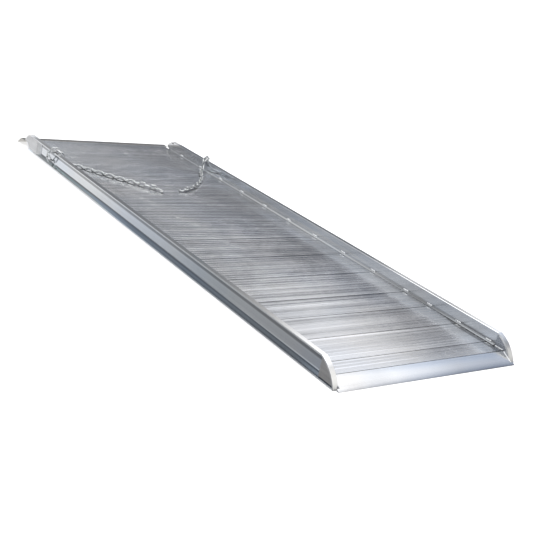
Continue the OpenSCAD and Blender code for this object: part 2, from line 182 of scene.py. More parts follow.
# --------------------------------------------------------------- shader helpers
class Tree:
    """Short hand for building a node tree from empty."""

    def __init__(self, node_tree):
        node_tree.nodes.clear()
        self.node_tree = node_tree
        self.column = 0

    def node(self, kind, **settings):
        node = self.node_tree.nodes.new(kind)
        self.column += 40
        node.location = (self.column, 0)
        for key, value in settings.items():
            setattr(node, key, value)
        return node

    def link(self, source, target):
        self.node_tree.links.new(source, target)

    def put(self, socket, value):
        """Link a socket, or set a plain value."""
        if isinstance(value, bpy.types.NodeSocket):
            self.link(value, socket)
        else:
            socket.default_value = value

    # arithmetic
    def math(self, operation, a, b=None):
        node = self.node("ShaderNodeMath", operation=operation)
        self.put(node.inputs[0], a)
        if b is not None:
            self.put(node.inputs[1], b)
        return node.outputs[0]

    def add(self, a, b):
        return self.math("ADD", a, b)

    def sub(self, a, b):
        return self.math("SUBTRACT", a, b)

    def mul(self, a, b):
        return self.math("MULTIPLY", a, b)

    def scaled(self, value, factor, offset):
        return self.add(self.mul(value, factor), offset)

    def sway(self, value, pattern, amount):
        """Value moved up and down by a pattern centred on 0.5."""
        return self.add(value, self.mul(self.sub(pattern, 0.5), amount))

    def lift(self, value, mask, by):
        """Value times (1 + by) where the mask is 1."""
        return self.mul(value, self.add(1.0, self.mul(mask, by)))

    def dim(self, value, mask, by):
        """Value times (1 - by) where the mask is 1."""
        return self.mul(value, self.sub(1.0, self.mul(mask, by)))

    def apply(self, value, mask, factor):
        """Value times the factor where the mask is 1."""
        return self.lift(value, mask, by=self.sub(factor, 1.0))

    # ramps; stops are (position, grey or RGB)
    def ramp(self, fac, stops):
        node = self.node("ShaderNodeValToRGB")
        elements = node.color_ramp.elements
        while len(elements) > 1:
            elements.remove(elements[-1])
        for i, (position, level) in enumerate(stops):
            element = elements[0] if i == 0 else elements.new(position)
            element.position = position
            grey = isinstance(level, (int, float))
            element.color = (level, level, level, 1) if grey else (*level, 1)
        self.link(fac, node.inputs[0])
        return node.outputs[0]

    def rise(self, fac, start, end, low=0.0, high=1.0):
        return self.ramp(fac, [(0.0, low), (start, low), (end, high), (1.0, high)])

    def fall(self, fac, start, end):
        return self.rise(fac, start, end, low=1.0, high=0.0)

    def plateau(self, fac, rise, fall):
        """0, up to 1 over the `rise` interval and back to 0 over the `fall` interval."""
        return self.ramp(fac, [(0.0, 0.0), (rise[0], 0.0), (rise[1], 1.0),
                               (fall[0], 1.0), (fall[1], 0.0), (1.0, 0.0)])

    # inputs and patterns
    def position(self):
        return self.node("ShaderNodeTexCoord").outputs["Object"]

    def axes(self, vector):
        node = self.node("ShaderNodeSeparateXYZ")
        self.link(vector, node.inputs[0])
        return node.outputs["X"], node.outputs["Y"], node.outputs["Z"]

    def pointiness(self):
        return self.node("ShaderNodeNewGeometry").outputs["Pointiness"]

    def occlusion(self, distance, only_local=False):
        node = self.node("ShaderNodeAmbientOcclusion", samples=8, only_local=only_local)
        node.inputs["Distance"].default_value = distance
        return node.outputs["AO"]

    def noise(self, vector, scale, detail, rough, distortion=0.0):
        node = self.node("ShaderNodeTexNoise")
        self.link(vector, node.inputs["Vector"])
        node.inputs["Scale"].default_value = scale
        node.inputs["Detail"].default_value = detail
        node.inputs["Roughness"].default_value = rough
        node.inputs["Distortion"].default_value = distortion
        return node.outputs["Fac"]

    def placed_noise(self, vector, shift, scale=1.0, detail=3, rough=0.5, distortion=0.0,
                     stretch=(1, 1, 1), turn=(0, 0, 0)):
        """Noise read through a mapping that shifts, turns and stretches it."""
        node = self.node("ShaderNodeMapping")
        self.link(vector, node.inputs["Vector"])
        node.inputs["Scale"].default_value = stretch
        node.inputs["Location"].default_value = shift
        node.inputs["Rotation"].default_value = turn
        return self.noise(node.outputs[0], scale, detail, rough, distortion)

    # colours and surfaces
    def mix_color(self, fac, a, b, blend="MIX"):
        node = self.node("ShaderNodeMix", data_type="RGBA", blend_type=blend)
        self.put(node.inputs["Factor"], fac)
        for key, value in (("A", a), ("B", b)):
            socket = [i for i in node.inputs if i.name == key and i.type == "RGBA"][0]
            if isinstance(value, tuple):
                value = (*value, 1)
            self.put(socket, value)
        return [o for o in node.outputs if o.type == "RGBA"][0]

    def shade_color(self, color, value):
        """Colour multiplied by a grey value."""
        grey = self.node("ShaderNodeCombineColor")
        for i in range(3):
            self.link(value, grey.inputs[i])
        return self.mix_color(1.0, color, grey.outputs[0], "MULTIPLY")

    def mix_shader(self, fac, first, second):
        node = self.node("ShaderNodeMixShader")
        self.link(fac, node.inputs[0])
        self.link(first, node.inputs[1])
        self.link(second, node.inputs[2])
        return node.outputs[0]

    def bumps(self, layers):
        """Layers of (height socket, strength, distance in metres) -> normal socket."""
        normal = None
        for height, strength, distance in layers:
            node = self.node("ShaderNodeBump")
            node.inputs["Strength"].default_value = strength
            node.inputs["Distance"].default_value = distance
            self.link(height, node.inputs["Height"])
            if normal is not None:
                self.link(normal, node.inputs["Normal"])
            normal = node.outputs["Normal"]
        return normal


def bare_material(name):
    material = bpy.data.materials.new(name)
    material.use_nodes = True
    tree = Tree(material.node_tree)
    output = tree.node("ShaderNodeOutputMaterial")
    return material, tree, output


def metal_material(name, preview):
    material, tree, output = bare_material(name)
    material.diffuse_color = (*preview, 1)
    bsdf = tree.node("ShaderNodeBsdfPrincipled")
    tree.link(bsdf.outputs[0], output.inputs["Surface"])
    bsdf.inputs["Metallic"].default_value = 1.0
    return material, tree, bsdf.inputs


# --------------------------------------------------------------- aluminium
# crossing scratches: turn (radians) and stretch of the noise
SCRATCHES = (
    ((0, 0, 0.5), (40, 900, 900)),
    ((0, 0, -0.9), (55, 1300, 1300)),
    ((0.7, 0.2, 1.3), (60, 1500, 1500)),
)


def scratch_mask(tree, place, seed):
    marks = []
    for k, (turn, stretch) in enumerate(SCRATCHES):
        lines = tree.placed_noise(place, (seed + k * 3.1, k, 2), detail=1,
                                  stretch=stretch, turn=turn)
        where = tree.placed_noise(place, (k * 2.7, seed, 6), scale=11.0, detail=2)
        marks.append(tree.mul(tree.rise(lines, start=0.685, end=0.72),
                              tree.rise(where, start=0.50, end=0.64)))
    return tree.math("MAXIMUM", tree.math("MAXIMUM", marks[0], marks[1]), marks[2])


def aluminium(name, grain="X", base=(0.83, 0.845, 0.865), rough=0.30, aniso=0.55, seed=0.0,
              streak=0.10, scuffs=0.5, tone=0.0, corner_shade=0.35, local=None, own_shade=True,
              bands=1.0, hollows=0.28, broad=0.0):
    """Mill-finish extruded aluminium whose die lines run along the grain axis.

    streak: contrast of the lines; bands, broad: share of the wide and the widest lines;
    scuffs: scratches; tone: added brightness; corner_shade: value left in deep corners by the
    painted occlusion shade;
    own_shade: corners found on the object alone; hollows: darkening of concave edges;
    local: a function giving shading for particular places.
    """
    material, tree, inputs = metal_material(name, base)
    place = tree.position()
    along = {"X": (1, 0, 0), "Y": (0, 1, 0), "Z": (0, 0, 1)}[grain]

    def lines(across, lengthwise, shift, detail=1.5, rough=0.5):
        stretch = tuple(lengthwise if a else across for a in along)
        return tree.placed_noise(place, shift, detail=detail, rough=rough, stretch=stretch)

    # lines drawn out along the grain, from hairlines to broad waves
    hair = lines(across=2600, lengthwise=14, shift=(seed, seed * 2, 3), detail=3, rough=0.6)
    line = lines(across=520, lengthwise=1.3, shift=(seed * 3, 1, seed))
    band = lines(across=48, lengthwise=0.55, shift=(7, seed, seed * 2))
    wide = lines(across=17, lengthwise=0.30, shift=(seed, 3, seed))
    # patches of handling and oxide, without direction
    patch = tree.placed_noise(place, (seed, 5, 9), scale=5.5, detail=4, rough=0.6, distortion=0.6)
    cloud = tree.placed_noise(place, (2, seed, 4), scale=38.0, detail=4, rough=0.6, distortion=0.3)
    tint = tree.placed_noise(place, (4, 8, seed), scale=2.4, detail=2)
    scratch = scratch_mask(tree, place, seed)
    point = tree.pointiness()
    edge = tree.rise(point, start=0.515, end=0.56)
    cavity = tree.fall(point, start=0.44, end=0.485)
    # painted shade: darker where the surface is occluded, down to the level given for deep corners
    shade = tree.ramp(tree.occlusion(distance=0.028, only_local=own_shade),
                      [(0.0, corner_shade), (0.42, corner_shade + (1 - corner_shade) * 0.18), (0.80, 1.0), (1.0, 1.0)])
    object_tone = tree.node("ShaderNodeAttribute", attribute_type="OBJECT",
                            attribute_name="tone").outputs["Fac"]

    # colour: a cool and a warm cast of the base, times a grey value
    cool = tuple(Vector(base) * 0.97 + Vector((-0.02, -0.004, 0.022)))
    warm = tuple(Vector(base) * 0.99 + Vector((0.012, 0.0, -0.016)))
    color = tree.mix_color(tree.rise(tint, start=0.38, end=0.62), cool, warm)
    value = tree.sway(1.0, band, amount=streak * 2.2 * bands)
    value = tree.sway(value, line, amount=streak * 2.0)
    value = tree.sway(value, wide, amount=streak * 3.0 * broad)
    value = tree.sway(value, patch, amount=streak * 1.2)
    value = tree.sway(value, cloud, amount=streak * 0.6)
    value = tree.add(value, tree.add(object_tone, tone))
    value = tree.sub(value, tree.mul(cavity, hollows))
    edge_gain, scratch_gain = 0.06, 0.05 * scuffs
    value = tree.add(value, tree.mul(edge, edge_gain))
    value = tree.add(value, tree.mul(scratch, scratch_gain))
    value = tree.mul(value, shade)
    places = local(tree, place, value) if local else {"value": value}
    color = tree.shade_color(color, places["value"])
    # painted reflection: a blue cast of reflected sky on the places given
    if "blue" in places:
        blued = tree.mix_color(1.0, color, (0.86, 0.97, 1.10), "MULTIPLY")
        color = tree.mix_color(tree.mul(places["blue"], 1.0), color, blued)
    tree.link(color, inputs["Base Color"])

    # roughness: varied by the patterns, lower on rubbed edges
    matte = places.get("matte")
    dull = tree.sway(rough, patch, amount=0.16)
    dull = tree.sway(dull, line, amount=0.16)
    dull = tree.sway(dull, cloud, amount=0.08)
    scratch_rough, edge_polish, matte_rough, matte_unmetal = 0.10 * scuffs, 0.08, 0.40, 0.55
    dull = tree.add(dull, tree.mul(scratch, scratch_rough))
    dull = tree.sub(dull, tree.mul(edge, edge_polish))
    if matte:
        dull = tree.add(dull, tree.mul(matte, matte_rough))
        tree.link(tree.sub(1.0, tree.mul(matte, matte_unmetal)), inputs["Metallic"])
    roughest, smoothest = 0.75, 0.12
    dull = tree.math("MAXIMUM", tree.math("MINIMUM", dull, roughest), smoothest)
    tree.link(dull, inputs["Roughness"])

    # highlights stretch across the grain
    inputs["Anisotropic"].default_value = aniso
    inputs["Anisotropic Rotation"].default_value = 0.25
    tangent = tree.node("ShaderNodeCombineXYZ")
    for i, a in enumerate(along):
        tangent.inputs[i].default_value = float(a)
    tree.link(tangent.outputs[0], inputs["Tangent"])

    normal = tree.bumps([
        (wide, min(1.0, 0.5 * broad), 0.0026),
        (band, min(1.0, 0.20 * bands), 0.0008),
        (line, 0.10, 0.00016),
        (hair, 0.06, 0.00003),
        (scratch, 0.15 * scuffs, 0.00006),
        (cloud, 0.06, 0.0004),
    ])
    if "tilt" in places:
        total = tree.node("ShaderNodeVectorMath", operation="ADD")
        tree.link(normal, total.inputs[0])
        tree.link(places["tilt"], total.inputs[1])
        unit = tree.node("ShaderNodeVectorMath", operation="NORMALIZE")
        tree.link(total.outputs["Vector"], unit.inputs[0])
        normal = unit.outputs["Vector"]
    tree.link(normal, inputs["Normal"])
    return material


# Ramp stops below read one of these positions:
#   length: y * 0.32 + 0.5, from the ground end to the upper end
#   breadth: x + 0.5, from left to right;  height: z in tenths of a metre
LENGTH_SCALE = {"factor": 0.32, "offset": 0.5}
HEIGHT_SCALE = 10.0
# painted shade by height in the outer hollow of the channel: a shadow band under the top flange and
# a darker line at the root
HOLLOW_SHADE_BY_HEIGHT = [(0.0, 1.0), (0.067, 1.0), (0.0735, 0.54), (0.19, 0.58), (0.225, 1.0),
                    (0.61, 1.0), (0.65, 0.40), (0.84, 0.30), (0.866, 0.30), (0.874, 1.0),
                    (1.0, 1.0)]
# values by length
ROOT_LIGHT_AND_SHADE_BY_LENGTH = [(0.0, 0.30), (0.08, 0.34), (0.33, 0.60), (0.50, 0.95), (0.66, 2.0),
                  (0.86, 2.4), (1.0, 2.4)]
TOE_LIGHT_AND_SHADE_BY_LENGTH = [(0.0, 0.42), (0.16, 0.48), (0.40, 0.95), (0.60, 1.5), (1.0, 1.5)]
KERB_LIGHT_AND_SHADE_BY_LENGTH = [(0.0, 1.0), (0.09, 0.95), (0.17, 0.86), (0.28, 1.12), (0.36, 1.18),
                       (0.65, 1.18), (0.78, 1.0), (1.0, 1.10)]
TOP_LIGHT_AND_SHADE_BY_LENGTH = [(0.0, 0.95), (0.17, 0.88), (0.33, 0.80), (0.48, 1.14), (0.80, 1.16),
                      (0.92, 1.0), (1.0, 1.0)]
FOOT_FADE_BY_LENGTH = [(0.0, 1.0), (0.26, 1.0), (0.40, 0.1), (1.0, 0.1)]
# values by breadth
DECK_LIGHT_AND_SHADE_BY_BREADTH = [(0.0, 0.98), (0.12, 1.02), (0.33, 1.17), (0.46, 1.08), (0.62, 0.89),
                   (0.83, 0.77), (1.0, 0.77)]
LIP_LIGHT_AND_SHADE_BY_BREADTH = [(0.0, 1.0), (0.25, 1.0), (0.32, 1.08), (0.5, 0.97), (0.66, 0.80),
                  (0.88, 0.80), (0.95, 0.88), (1.0, 0.88)]


def channel_shade(tree, place, value):
    """Rail: painted shade in the outer hollow, painted light on the top flange and the flanges'
    edges, painted light and shade along the kerb and the weld toe on the inner face.
    """
    x, y, z = tree.axes(place)
    from_middle = tree.math("ABSOLUTE", x)
    outer = tree.rise(from_middle, start=0.4615, end=0.4630)
    inner = tree.sub(1.0, tree.rise(from_middle, start=0.4575, end=0.4590))
    height = tree.mul(z, HEIGHT_SCALE)
    # painted shade in the outer hollow: the top flange's shadow on the web and a dark line at the
    # web's root
    hollow = tree.ramp(height, HOLLOW_SHADE_BY_HEIGHT)
    value = tree.mul(value, tree.add(tree.mul(tree.sub(hollow, 1.0), outer), 1.0))
    # the bottom flange's upper face, short of its outer edge
    root = tree.plateau(height, rise=(0.068, 0.0735), fall=(0.19, 0.225))
    ledge = tree.mul(outer, tree.fall(height, start=0.069, end=0.073))
    shelf_light = tree.mul(ledge, tree.sub(1.0, tree.rise(from_middle, start=0.4795, end=0.4812)))
    # painted light: the bottom flange's upper face is lifted brighter
    value = tree.lift(value, shelf_light, by=1.1)
    # painted shade and light in the root of the channel: darkest at the ground end, lifted brighter
    # towards the upper end
    length = tree.scaled(y, **LENGTH_SCALE)
    value = tree.apply(value, tree.mul(root, outer), tree.ramp(length, ROOT_LIGHT_AND_SHADE_BY_LENGTH))
    # painted light: the top flange's upper face is lifted brighter
    top = tree.rise(height, start=0.915, end=0.925)
    value = tree.lift(value, top, by=0.45)
    # painted light and shade on the weld toe: darker at the ground end, lighter towards the upper
    # end
    toe = tree.mul(inner, tree.plateau(height, rise=(0.35, 0.37), fall=(0.442, 0.452)))
    value = tree.apply(value, toe, tree.ramp(length, TOE_LIGHT_AND_SHADE_BY_LENGTH))
    # painted light and shade, uneven along the kerb's inner face and the left top flange
    value = tree.apply(value, inner, tree.ramp(length, KERB_LIGHT_AND_SHADE_BY_LENGTH))
    left = tree.fall(tree.add(x, 0.5), start=0.49, end=0.5)
    value = tree.apply(value, tree.mul(top, left), tree.ramp(length, TOP_LIGHT_AND_SHADE_BY_LENGTH))
    # thin shade line on the kerb just above its toe
    foot = tree.mul(inner, tree.plateau(height, rise=(0.446, 0.452), fall=(0.475, 0.53)))
    value = tree.dim(value, tree.mul(foot, tree.ramp(length, FOOT_FADE_BY_LENGTH)), by=0.45)
    # painted light: further up the ramp the kerb is lighter above its toe
    pale_light = tree.mul(inner, tree.plateau(height, rise=(0.446, 0.452), fall=(0.56, 0.66)))
    pale_light = tree.mul(pale_light, tree.rise(length, start=0.26, end=0.40))
    value = tree.lift(value, pale_light, by=0.22)
    # painted highlight on the flanges' outer edges
    rim_highlight = tree.rise(from_middle, start=0.4795, end=0.4812)
    value = tree.lift(value, rim_highlight, by=0.42)
    matte = tree.mul(outer, tree.rise(length, start=0.90, end=0.925))
    # near the ground end the right top flange's normal leans to the ground end and inwards
    near = tree.fall(length, start=0.22, end=0.36)
    right = tree.rise(tree.add(x, 0.5), start=0.5, end=0.51)
    lean = tree.mul(tree.mul(top, near), right)
    tilt = tree.node("ShaderNodeCombineXYZ")
    for i, amount in enumerate((-0.02, -0.085)):
        tree.link(tree.mul(lean, amount), tilt.inputs[i])
    # painted reflection: the outer root and the bottom flange's face are tinted blue
    blue = tree.math("MAXIMUM", tree.mul(outer, root), shelf_light)
    return {"value": value, "matte": matte, "tilt": tilt.outputs[0], "blue": blue}


def deck_shade(tree, place, value):
    """Deck: painted light left of the middle, painted shade to the right, painted shadow at the
    foot of the right kerb.
    """
    x, y, _ = tree.axes(place)
    breadth = tree.add(x, 0.5)
    length = tree.scaled(y, **LENGTH_SCALE)
    # painted light and shade across the deck
    across = tree.ramp(breadth, DECK_LIGHT_AND_SHADE_BY_BREADTH)
    upper = tree.rise(length, start=0.17, end=0.36)
    ground_gain, brightest = 0.95, 1.14
    gain = tree.add(ground_gain, tree.mul(upper, tree.sub(across, ground_gain)))
    # painted light: the deck is lifted brighter over its far part
    far = tree.ramp(length, [(0.0, 0.0), (0.55, 0.0), (0.70, 1.0), (0.86, 1.0), (0.93, 0.3),
                             (1.0, 0.0)])
    gain = tree.lift(gain, far, by=0.16)
    value = tree.math("MINIMUM", tree.mul(value, gain), brightest)
    # painted shadow in the corner between the deck and the right kerb, wider towards the ground
    kerb_x, widest, contrast = 0.458, 0.040, 20.0
    gap = tree.sub(kerb_x, x)
    width = tree.mul(tree.fall(length, start=0.112, end=0.150), widest)
    corner = tree.fall(tree.scaled(tree.sub(gap, width), factor=contrast, offset=0.5),
                       start=0.46, end=0.52)
    corner = tree.mul(corner, tree.fall(length, start=0.140, end=0.155))
    value = tree.dim(value, corner, by=0.46)
    # painted shade of a narrow gap: a short, darker strip right beside the kerb
    slit_shade = tree.fall(tree.mul(gap, contrast), start=0.20, end=0.28)
    slit_shade = tree.mul(slit_shade, tree.plateau(length, rise=(0.108, 0.118), fall=(0.146, 0.152)))
    return {"value": tree.dim(value, slit_shade, by=0.8)}


def lip_shade(tree, place, value):
    """Ground lip: painted light and shade, darker towards its right end."""
    x, _, _ = tree.axes(place)
    return {"value": tree.mul(value, tree.ramp(tree.add(x, 0.5), LIP_LIGHT_AND_SHADE_BY_BREADTH))}


# --------------------------------------------------------------- weld metal and zinc
def weld_metal(name):
    """Weld beads: bright, with darker hollows."""
    material, tree, inputs = metal_material(name, preview=(0.85, 0.86, 0.87))
    place = tree.position()
    fine = tree.placed_noise(place, (0, 2, 1), scale=420, detail=4, rough=0.6)
    cloud = tree.placed_noise(place, (0, 1, 5), scale=90, detail=3, rough=0.55)
    cavity = tree.fall(tree.pointiness(), start=0.42, end=0.50)
    bright, grey, soot = (0.93, 0.935, 0.94), (0.80, 0.82, 0.85), (0.42, 0.43, 0.45)
    soot_share, base_rough, cloud_rough, cavity_rough = 0.7, 0.26, 0.22, 0.2
    color = tree.mix_color(cloud, bright, grey)
    color = tree.mix_color(tree.mul(cavity, soot_share), color, soot)
    tree.link(color, inputs["Base Color"])
    rough = tree.add(base_rough, tree.mul(cloud, cloud_rough))
    tree.link(tree.add(rough, tree.mul(cavity, cavity_rough)), inputs["Roughness"])
    tree.link(tree.bumps([(fine, 0.25, 0.00012), (cloud, 0.2, 0.0004)]), inputs["Normal"])
    return material


def zinc(name, dull, seed):
    """Bright zinc plating with water marks, dark hollows, painted shade where it is occluded, and
    fine pitting.
    """
    material, tree, inputs = metal_material(name, preview=(0.72, 0.74, 0.73))
    place = tree.position()
    spots = tree.placed_noise(place, (seed, 0, 3), scale=160, detail=4, rough=0.6, distortion=0.4)
    cloud = tree.placed_noise(place, (1, seed, 0), scale=34, detail=3, rough=0.55)
    pits = tree.placed_noise(place, (seed, 4, 4), scale=1500, detail=2, rough=0.6)
    cavity = tree.fall(tree.pointiness(), start=0.40, end=0.49)
    bright, grey = (0.92, 0.93, 0.92), (0.72, 0.745, 0.76)
    stain, hollow = (0.36, 0.37, 0.37), (0.10, 0.105, 0.11)
    hollow_share = 0.55 + dull
    color = tree.mix_color(cloud, bright, grey)
    color = tree.mix_color(tree.rise(spots, start=0.56, end=0.70, high=0.55), color, stain)
    color = tree.mix_color(tree.mul(cavity, hollow_share), color, hollow)
    # painted shade: the plating is darkened where it is occluded, as where links touch
    shade = tree.ramp(tree.occlusion(distance=0.016),
                      [(0.0, 0.05), (0.30, 0.16), (0.55, 0.55), (0.78, 1.0), (1.0, 1.0)])
    tree.link(tree.shade_color(color, shade), inputs["Base Color"])
    base_rough, spot_rough, cloud_rough = 0.12 + dull * 0.3, 0.20, 0.08
    rough = tree.add(base_rough, tree.mul(spots, spot_rough))
    tree.link(tree.add(rough, tree.mul(cloud, cloud_rough)), inputs["Roughness"])
    tree.link(tree.bumps([(pits, 0.20, 0.00004), (spots, 0.18, 0.00012)]), inputs["Normal"])
    return material


RAIL_METAL = aluminium(
    "rail_aluminium", grain="Y", base=(0.80, 0.815, 0.835), rough=0.20, aniso=0.5, seed=1.3,
    local=channel_shade)
DECK_METAL = aluminium(
    "deck_aluminium", base=(0.87, 0.88, 0.90), rough=0.22, aniso=0.5, seed=4.1, streak=0.14,
    own_shade=False, bands=1.3, corner_shade=0.45, hollows=0.05, broad=1.25, local=deck_shade)
# painted shade: a darker copy of the deck metal for the rib flanks
RIB_FLANK_SHADE_METAL = aluminium(
    "deck_rib_flank_shade", base=(0.62, 0.63, 0.65), rough=0.42, aniso=0.3, seed=5.6, streak=0.30,
    own_shade=False, bands=1.3, corner_shade=0.5, hollows=0.0, tone=-0.10, broad=1.25,
    local=deck_shade)
LIP_METAL = aluminium(
    "lip_aluminium", base=(0.84, 0.85, 0.865), rough=0.24, aniso=0.5, seed=7.7, streak=0.08,
    local=lip_shade)
NOSE_METAL = aluminium(
    "nose_aluminium", base=(0.90, 0.90, 0.895), rough=0.34, aniso=0.25, seed=9.2,
    streak=0.08, scuffs=0.9, tone=0.05, corner_shade=1.0, hollows=0.0)
GUSSET_METAL = aluminium(
    "gusset_aluminium", grain="Y", base=(0.70, 0.715, 0.74), rough=0.30, aniso=0.3, seed=3.3,
    streak=0.16, scuffs=0.9, tone=-0.22)
OVERLAP_METAL = aluminium(
    "overlap_aluminium", base=(0.74, 0.73, 0.70), rough=0.36, aniso=0.3, seed=15.1,
    streak=0.14, scuffs=0.9, tone=-0.28)
PLATE_METAL = aluminium(
    "plate_aluminium", grain="Y", base=(0.80, 0.785, 0.765), rough=0.36, aniso=0.2,
    seed=12.4, streak=0.24, scuffs=0.9, tone=-0.13)
WELD_METAL = weld_metal("weld_aluminium")
CHAIN_ZINC = zinc("chain_zinc", dull=0.0, seed=2.0)
HOOK_ZINC = zinc("hook_zinc", dull=0.08, seed=5.0)

# --------------------------------------------------------------- CAD nodes that stay
# node name after its side, material, edge softening (mm), slot
SIDE_NODES = (
    ("side_rail", RAIL_METAL, 0.30, "rail_extrusion"),
    ("ground_nose_strip", NOSE_METAL, 0.6, "nose_plate"),
    ("ground_nose_web", GUSSET_METAL, 0.3, "rail_extrusion"),
    ("ground_nose_plate", PLATE_METAL, 0.5, "nose_plate"),
    ("upper_nose_strip", NOSE_METAL, 0.6, "nose_plate"),
    ("upper_nose_web", RAIL_METAL, 0.3, "rail_extrusion"),
    ("upper_end_plate", PLATE_METAL, 0.5, "nose_plate"),
)
LIP_NODES = (
    ("ground_lip", LIP_METAL, 0.35, "lip_plate"),
    ("overlap_lip", OVERLAP_METAL, 0.6, "lip_plate"),
)


def dress(node, material, edge, slot):
    """Give a CAD node its material and soften its edges."""
    obj = NODES[node]
    mesh = obj.data
    if "custom_normal" in mesh.attributes:
        mesh.attributes.remove(mesh.attributes["custom_normal"])
    mesh.materials.clear()
    mesh.materials.append(material)
    mesh.polygons.foreach_set("use_smooth", [True] * len(mesh.polygons))
    weld = obj.modifiers.new("weld", "WELD")
    weld.merge_threshold = 2e-5
    planar = obj.modifiers.new("planar", "DECIMATE")
    planar.decimate_type = "DISSOLVE"
    planar.angle_limit = math.radians(0.6)
    bevel = obj.modifiers.new("edge", "BEVEL")
    bevel.width = edge * MM
    bevel.segments = 2
    bevel.limit_method = "ANGLE"
    bevel.angle_limit = math.radians(24)
    bevel.harden_normals = True
    bevel.use_clamp_overlap = True
    triangles = obj.modifiers.new("tri", "TRIANGULATE")
    triangles.keep_custom_normals = True


for side in SIDES:
    for part, material, edge, slot in SIDE_NODES:
        dress(f"{side}_{part}", material, edge, slot)
for node, material, edge, slot in LIP_NODES:
    dress(node, material, edge, slot)

# --------------------------------------------------------------- deck planks (mm)
RIB_PITCH = 23.0
RIB_HEIGHT = 0.45
SKIN = 4.0             # thickness under the valleys
LEG = 3.2              # thickness of a leg
FOOT_Z = 4.0           # underside of the feet
FOOT_THICK = 3
FOOT_REACH = 9         # how far a foot reaches into its bay
BAY_RADIUS = 1.6
BAY_CUT = 0.45         # inset of the middle point of a rounded bay corner
SEAM = 0.15            # set-back at each joint
TWO_BAY_WIDTH = 120    # planks wider than this have two bays
LAST_SHORT = 40        # the last plank's bays stop this far short
LAST_FOOT = 42         # and its foot ends this far from the upper edge
LAST_FACE = 10         # depth of its upper edge face
# upper far corner of a plank: inset from the far side, drop below the valleys
FAR_CORNER = ((2.0, 0), (1.0, 0.4), (0.3, 1.3), (0, 2.5), (0, 3.4))


def rib_points(middle, valley, top):
    half = [(4.75, valley), (4.45, valley + 0.07), (4.15, top - 0.20), (3.95, top - 0.06),
            (3.65, top)]
    return ([(middle - offset, z) for offset, z in half]
            + [(middle + offset, z) for offset, z in reversed(half)])


def bay_points(x, width, roof):
    """One open bay, from its far foot over the roof to its near foot."""
    far = x + width
    sill = FOOT_Z + FOOT_THICK
    return [
        (far - FOOT_REACH, FOOT_Z), (far - FOOT_REACH, sill),
        (far - BAY_RADIUS, sill), (far - BAY_CUT, sill + BAY_CUT), (far, sill + BAY_RADIUS),
        (far, roof - BAY_RADIUS), (far - BAY_CUT, roof - BAY_CUT), (far - BAY_RADIUS, roof),
        (x + BAY_RADIUS, roof), (x + BAY_CUT, roof - BAY_CUT), (x, roof - BAY_RADIUS),
        (x, sill + BAY_RADIUS), (x + BAY_CUT, sill + BAY_CUT), (x + BAY_RADIUS, sill),
        (x + FOOT_REACH, sill), (x + FOOT_REACH, FOOT_Z),
    ]


def plank_outline(width, last):
    """Cross-section as (y from the plank's start, z): ribbed skin on legs with feet."""
    valley = DECK_Z - RIB_HEIGHT
    side_z = valley - 3.4
    far = width - SEAM
    ribs = max(2, round(width / RIB_PITCH))
    pitch = width / ribs
    points = [(SEAM + 1.5, side_z), (SEAM + 1.5, valley - 0.2), (SEAM + 1.7, valley)]
    for i in range(ribs):
        points += rib_points(pitch / 2 + i * pitch, valley, DECK_Z)
    points += [(far - inset, valley - drop) for inset, drop in FAR_CORNER]
    if last:
        points += [(far, DECK_Z - LAST_FACE), (width - LAST_FOOT, FOOT_Z)]
    else:
        points += [(far, FOOT_Z + 0.4), (far - 0.4, FOOT_Z)]
    bays = 2 if width > TWO_BAY_WIDTH else 1
    short = LAST_SHORT if last else 0
    bay = (width - 2 * SEAM - (bays + 1) * LEG - short) / bays
    for i in reversed(range(bays)):
        points += bay_points(SEAM + LEG + i * (bay + LEG), bay, roof=valley - SKIN)
    points += [(SEAM + 0.4, FOOT_Z), (SEAM, FOOT_Z + 0.4), (SEAM, side_z)]
    return points


def is_rib_flank(start, end):
    """True for the short rising or falling pieces of the ribbed top."""
    return (abs(start[1] - end[1]) > 0.02
            and min(start[1], end[1]) > DECK_Z - RIB_HEIGHT - 0.4
            and abs(start[0] - end[0]) < 0.5)


def build_plank(node, index):
    low, high = PLANK_BOX[node]
    width = (high.y - low.y) / MM + 2 * SEAM
    start_y = low.y / MM - SEAM
    outline = plank_outline(width, last=index == len(PLANKS) - 1)
    verts = [(x * MM, (start_y + y) * MM, z * MM)
             for x in (low.x / MM, high.x / MM) for y, z in outline]
    name = node + "_ribbed"
    mesh = solid_mesh(name, verts, prism_faces(outline, 2), DECK_METAL)
    mesh.materials.append(RIB_FLANK_SHADE_METAL)
    for k, start in enumerate(outline):
        if is_rib_flank(start, outline[(k + 1) % len(outline)]):
            mesh.polygons[k].material_index = 1
    mesh.set_sharp_from_angle(angle=math.radians(4))
    obj = add_object(name, mesh)
    obj["tone"] = random.Random(1000 + index).uniform(-0.05, 0.04)
    register(obj, "ramp", replaces=node)


for index, node in enumerate(PLANKS):
    build_plank(node, index)

# --------------------------------------------------------------- weld beads (mm)
RIPPLE = 0.16          # depth of the ripples as a share of the bead's height


